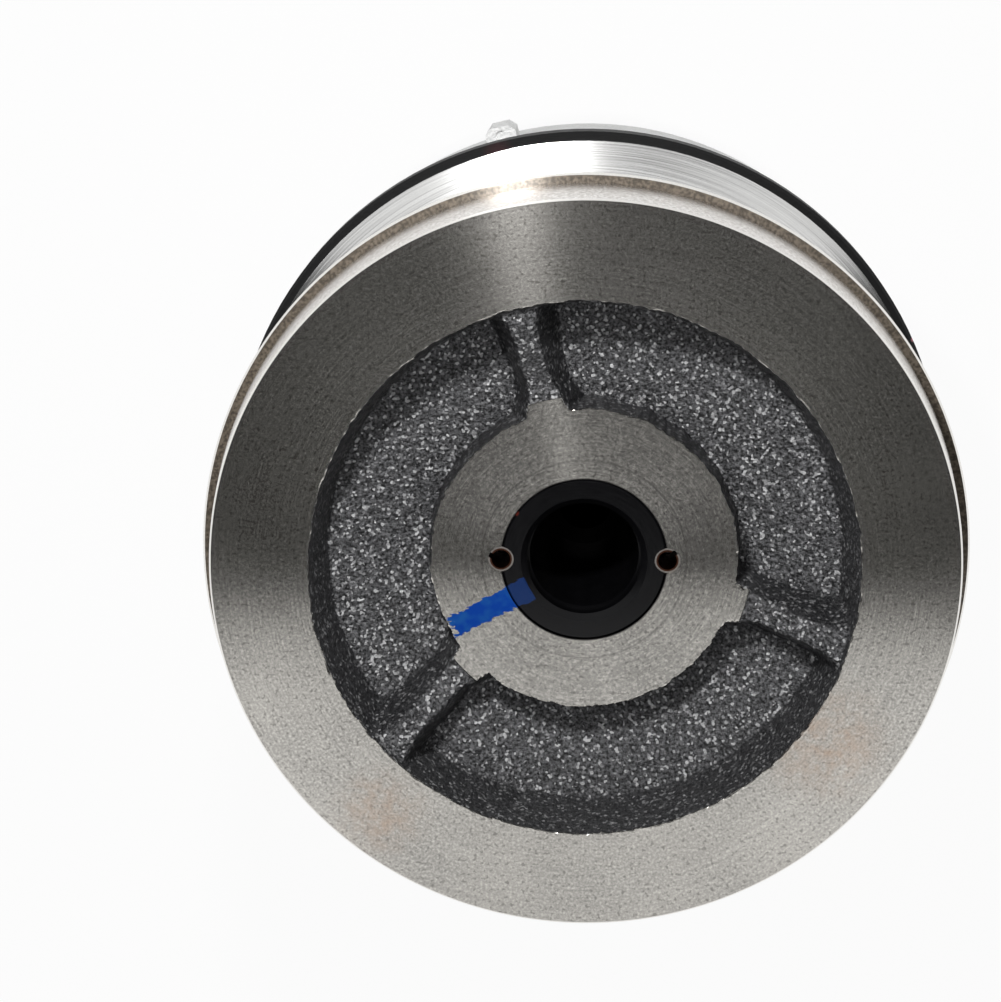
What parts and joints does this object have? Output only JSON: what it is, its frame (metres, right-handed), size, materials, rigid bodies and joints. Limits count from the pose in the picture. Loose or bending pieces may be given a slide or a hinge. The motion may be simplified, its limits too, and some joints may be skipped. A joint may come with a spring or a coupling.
{
  "type": "drive clutch",
  "caption": "Round belt-drive clutch: ribbed iron sheave on a tapered steel post, open V groove, sprung sliding sheave and a deep cap over spider, rollers and weights.",
  "frame": {"origin": "centre of the cover's flat end, on the post's axis", "axes": "+Z along the post from the cover to the machined ring of the fixed sheave; +X through the right spring pin; +Y towards the top of the picture"},
  "size_m": [0.1952, 0.196, 0.17],
  "materials": {
    "cast_iron": "machined and as-cast",
    "black_oxide": "black oxide",
    "steel": "ground",
    "pin_steel": "bright",
    "cast_aluminium": "machined casting",
    "cover_aluminium": "as-cast, bead blasted",
    "black_rubber": "satin",
    "bushing": "low friction liner",
    "nylon": "satin",
    "spring_steel": "dark paint"
  },
  "bodies": {
    "fixed_half": {"fixed_sheave": "cast_iron", "post": "black_oxide", "roll_pins": "pin_steel", "thrust_washer_upper": "steel", "thrust_washer_lower": "steel", "idle_inner_ring": "steel", "idle_needles": "steel", "snap_ring": "black_oxide", "spider": "cast_aluminium", "spider_nut": "steel", "roller_pins": "steel", "drive_buttons": "nylon", "spring": "spring_steel"},
    "sliding_half": {"movable_sheave": "cast_aluminium", "movable_bushing": "bushing", "dust_ring": "black_rubber", "cover": "cover_aluminium", "cover_bushing": "bushing", "cover_screws": "black_oxide", "pivot_pins": "steel", "spring_washer": "steel"},
    "idle_ring": {"idle_outer_ring": "steel"},
    "roller_1": {"roller_1": "nylon"},
    "flyweight_1": {"flyweight_1": "steel"},
    "roller_2": {"roller_2": "nylon"},
    "flyweight_2": {"flyweight_2": "steel"},
    "roller_3": {"roller_3": "nylon"},
    "flyweight_3": {"flyweight_3": "steel"}
  },
  "joints": [
    {"name": "sheave_slide", "type": "slide", "parent": "fixed_half", "child": "sliding_half", "axis": [0, 0, 1], "range_m": [0, 0.022], "stiffness_N_per_m": 6600, "springref_m": -0.03, "deforming": ["spring"]},
    {"name": "idle_ring_spin", "type": "hinge", "parent": "fixed_half", "child": "idle_ring", "pos_m": [0, 0, 0.119], "axis": [0, 0, 1], "continuous": true},
    {"name": "roller_1_spin", "type": "hinge", "parent": "fixed_half", "child": "roller_1", "pos_m": [-0.01464, 0.0587, 0.05741], "axis": [0.9703, 0.2419, 0], "continuous": true},
    {"name": "flyweight_1_swing", "type": "hinge", "parent": "sliding_half", "child": "flyweight_1", "pos_m": [-0.01875, 0.0752, 0.07241], "axis": [0.9703, 0.2419, 0], "range_deg": [0, 36.01]},
    {"name": "roller_2_spin", "type": "hinge", "parent": "fixed_half", "child": "roller_2", "pos_m": [-0.04352, -0.04203, 0.05741], "axis": [-0.6947, 0.7193, 0], "continuous": true},
    {"name": "flyweight_2_swing", "type": "hinge", "parent": "sliding_half", "child": "flyweight_2", "pos_m": [-0.05575, -0.05384, 0.07241], "axis": [-0.6947, 0.7193, 0], "range_deg": [0, 36.01]},
    {"name": "roller_3_spin", "type": "hinge", "parent": "fixed_half", "child": "roller_3", "pos_m": [0.05816, -0.01668, 0.05741], "axis": [-0.2756, -0.9613, 0], "continuous": true},
    {"name": "flyweight_3_swing", "type": "hinge", "parent": "sliding_half", "child": "flyweight_3", "pos_m": [0.0745, -0.02136, 0.07241], "axis": [-0.2756, -0.9613, 0], "range_deg": [0, 36.01]}
  ],
  "couplings": [
    {"joint": "flyweight_1_swing", "follows": "sheave_slide", "rad_per_m": 28.56},
    {"joint": "flyweight_2_swing", "follows": "sheave_slide", "rad_per_m": 28.56},
    {"joint": "flyweight_3_swing", "follows": "sheave_slide", "rad_per_m": 28.56}
  ]
}
